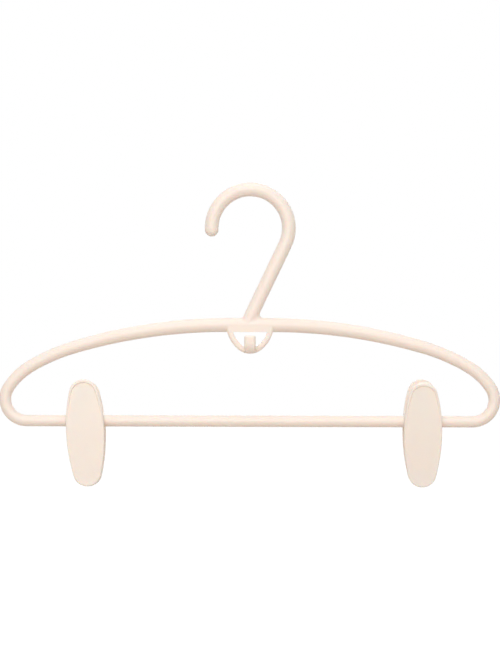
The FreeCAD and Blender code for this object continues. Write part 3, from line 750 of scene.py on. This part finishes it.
@dataclass
class Clip:
    """A clip: two jaws with rubber grips, a pivot sleeve and a leaf spring.

    Its own frame has the bar's axis as X, the rear jaw at +Y and its upper end at +Z.

    Attributes:
        side: Where it hangs.
        shift: Its middle's place along the bar.
        materials: What its pieces are made of.
        tilt: Tilt of its upper end to the left, in degrees.
        lean: Lean of its upper end to the front, in degrees.
        bar_height: Height of the bar's axis.
        spring: The form of its leaf spring.
        spring_keep: Not used. The share of the spring's spread that would be left when the clip is wide
            open.
        grip: The form of its grips.
    """

    side: Side
    shift: float
    materials: ClipMaterials
    tilt: float = 0.0
    lean: float = 0.0
    bar_height: float = -134.9 * MM
    spring: SpringForm = SpringForm()
    spring_keep: float = 0.5
    grip: GripForm = GripForm()

    def node_name(self, piece: str) -> str:
        """Give the name of one of the clip's solids, pieces or joints."""
        return "%s_clip_%s" % (self.side.value, piece)

    def axes(self) -> np.ndarray:
        """Give the clip's own X, Y and Z directions as rows: a lean about X, then a tilt about Y.

        Returns:
            The directions, 3 by 3.
        """
        tilt = math.radians(-self.tilt)
        lean = math.radians(self.lean)
        about_y = np.array([
            [math.cos(tilt), 0.0, math.sin(tilt)],
            [0.0, 1.0, 0.0],
            [-math.sin(tilt), 0.0, math.cos(tilt)],
        ])
        about_x = np.array([
            [1.0, 0.0, 0.0],
            [0.0, math.cos(lean), -math.sin(lean)],
            [0.0, math.sin(lean), math.cos(lean)],
        ])
        return (about_y @ about_x).T

    def build_spring(self) -> bpy.types.Object:
        """Build the leaf spring in place of its solid.

        Returns:
            The spring.
        """
        vertices, faces = self.spring.surface()
        middle = np.array([self.shift, 0.0, self.bar_height])
        axes = self.axes()
        name = self.node_name("leaf_spring")
        piece = new_piece(name, (vertices @ axes + middle, faces), self.spring.crease)
        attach(piece, self.side.value + "_core")
        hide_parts(self.node_name("spring"))
        self.node_name("open")
        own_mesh(piece)
        return piece

    def build_grip(self, end: End) -> bpy.types.Object:
        """Build a jaw's rubber grip in place of its solid.

        Args:
            end: The jaw that it sits in. The front one's grip mirrors the rear one's.

        Returns:
            The grip.
        """
        vertices, faces = self.grip.surface()
        if end is End.FRONT:
            vertices = vertices * np.array([1.0, -1.0, 1.0])
            faces = [face[::-1] for face in faces]
        middle = np.array([self.shift, 0.0, self.bar_height])
        name = self.node_name(end.value + "_rubber_grip")
        piece = new_piece(name, (vertices @ self.axes() + middle, faces), self.grip.crease)
        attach(piece, "%s_%s" % (self.side.value, end.value))
        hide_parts(self.node_name(end.value + "_grip"))
        return piece

    def build(self) -> None:
        """Build the spring and the grips, and dress every piece of the clip."""
        dress(self.build_spring(), self.materials.steel)
        for end in End:
            dress(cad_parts[self.node_name(end.value + "_jaw")], self.materials.plastic)
            dress(self.build_grip(end), self.materials.rubber)
        dress(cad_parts[self.node_name("sleeve")], self.materials.sleeve)


@dataclass(frozen=True)
class Lamp:
    """A square soft lamp.

    Attributes:
        name: Its name.
        place: Where it stands.
        side: Length of its side.
        power: Its power in watts.
    """

    name: str
    place: Point
    side: float
    power: float


@dataclass
class Studio:
    """A plain soft studio: pale floor, white surround, soft lamps and the camera.

    Attributes:
        target: The point that the lamps and the camera face.
        distance: The camera's distance from it.
        elevation: The camera's height above the horizon, in degrees.
        roll: The camera's turn about its own view, in degrees.
        view_height: Height of the picture at the target.
        sensor: Width of the camera's sensor in millimetres.
        floor_height: Where the floor lies.
        floor_half: Half the floor's side.
        floor_tone: The floor's colour in the light.
        floor_glow: What the floor adds to that to the eye, up to white.
        floor_crease: The angle in degrees past which an edge of the floor is crisp.
        surround: Strength of the surround as light.
        lamps: The lamps.
    """

    target: Point = (0.0, 0.0, -0.0829)
    distance: float = 1.3
    elevation: float = 0.0
    roll: float = 0.155
    view_height: float = 0.4014
    sensor: float = 36.0
    floor_height: float = -0.36
    floor_half: float = 6.0
    floor_tone: Colour = (0.62, 0.56, 0.50)
    floor_glow: Colour = (0.74, 0.755, 0.78)
    floor_crease: float = 40.0
    surround: float = 0.475
    lamps: Tuple[Lamp, ...] = (
        Lamp("overhead_lamp", (0.0, -0.25, 1.15), side=1.1, power=5.2),
        Lamp("front_lamp", (-0.15, -1.9, 0.55), side=1.4, power=19.0),
        Lamp("back_lamp", (0.15, 1.9, 0.35), side=1.4, power=9.0),
    )

    def seen(self, recipe: Recipe) -> Value:
        """Mark the rays that show the background: the camera's, a reflection's or a see-through piece's.

        Args:
            recipe: The node tree that asks.

        Returns:
            1 for such a ray, and otherwise 0.
        """
        path = recipe.node("ShaderNodeLightPath")
        shown = recipe.value(path, "Is Camera Ray").most(recipe.value(path, "Is Glossy Ray"))
        return shown.most(recipe.value(path, "Is Transmission Ray"))

    def build_floor(self) -> None:
        """Build the floor: a flat square, white to the eye and a softer bounce to the object."""
        half = self.floor_half
        corners = np.array([[-half, -half], [half, -half], [half, half], [-half, half]])
        vertices = np.concatenate([corners, np.full((len(corners), 1), self.floor_height)], axis=1)
        floor = new_piece("floor", (vertices, [list(range(len(corners)))]), self.floor_crease)
        recipe = Recipe(bpy.data.materials.new("floor_paint"))
        paint = recipe.node("ShaderNodeBsdfDiffuse", None, {"Color": (*self.floor_tone, 1.0)})
        feeds = {"Color": (*self.floor_glow, 1.0), "Strength": self.seen(recipe)}
        glow = recipe.node("ShaderNodeEmission", None, feeds)
        recipe.finish(recipe.node("ShaderNodeAddShader", None, {0: paint.outputs[0], 1: glow.outputs[0]}))
        floor.data.materials.append(recipe.owner)

    def build_surround(self) -> None:
        """Build the surround: white to the eye, and an even fill light."""
        world = bpy.data.worlds.new("surround")
        bpy.context.scene.world = world
        recipe = Recipe(world)
        strength = self.surround + self.seen(recipe) * (1.0 - self.surround)
        feeds = {"Color": (1.0, 1.0, 1.0, 1.0), "Strength": strength}
        recipe.finish(recipe.node("ShaderNodeBackground", None, feeds), "ShaderNodeOutputWorld")

    def build_lamp(self, lamp: Lamp) -> None:
        """Build a lamp that faces the object."""
        light = bpy.data.lights.new(lamp.name, "AREA")
        light.shape = "SQUARE"
        light.size = lamp.side
        light.energy = lamp.power
        holder = bpy.data.objects.new(lamp.name, light)
        bpy.context.scene.collection.objects.link(holder)
        self.aim(holder, lamp.place)

    def aim(self, holder: bpy.types.Object, place: Sequence[float]) -> None:
        """Set a lamp or the camera at a place and turn it to the target.

        Args:
            holder: The lamp's or the camera's object.
            place: Where it goes.
        """
        holder.location = place
        way = np.array(self.target) - np.array(place)
        across = math.atan2(way[0], way[1])
        down = math.atan2(way[2], math.hypot(way[0], way[1]))
        holder.rotation_euler = (math.pi / 2 + down, 0.0, -across)

    def build_camera(self) -> None:
        """Build the camera: the picture's long side spans the view height at the target."""
        lens = bpy.data.cameras.new("camera")
        lens.sensor_width = self.sensor
        lens.lens = self.sensor * self.distance / self.view_height
        camera = bpy.data.objects.new("camera", lens)
        bpy.context.scene.collection.objects.link(camera)
        rise = math.radians(self.elevation)
        back = np.array([0.0, -math.cos(rise), math.sin(rise)]) * self.distance
        self.aim(camera, np.array(self.target) + back)
        camera.rotation_euler.rotate_axis("Z", math.radians(self.roll))
        bpy.context.scene.camera = camera

    def build(self) -> None:
        """Build the floor, the surround, the lamps and the camera."""
        bpy.context.scene.view_settings.view_transform = "Standard"
        self.build_floor()
        self.build_surround()
        for lamp in self.lamps:
            self.build_lamp(lamp)
        self.build_camera()


def main() -> None:
    """Build the frame, the clips and the studio."""
    logging.basicConfig(level=logging.INFO, format="%(message)s")
    HangerFrame().dress()
    materials = ClipMaterials(
        plastic=CLIP_PLASTIC.material(),
        sleeve=SLEEVE_PLASTIC.material(),
        rubber=PAD_RUBBER.material(),
        steel=STRIP_STEEL.material(),
    )
    Clip(Side.LEFT, -98.5 * MM, materials, tilt=2.8, lean=-4.0).build()
    Clip(Side.RIGHT, 103.5 * MM, materials, lean=4.2).build()
    Studio().build()


if __name__ == "__main__":
    main()
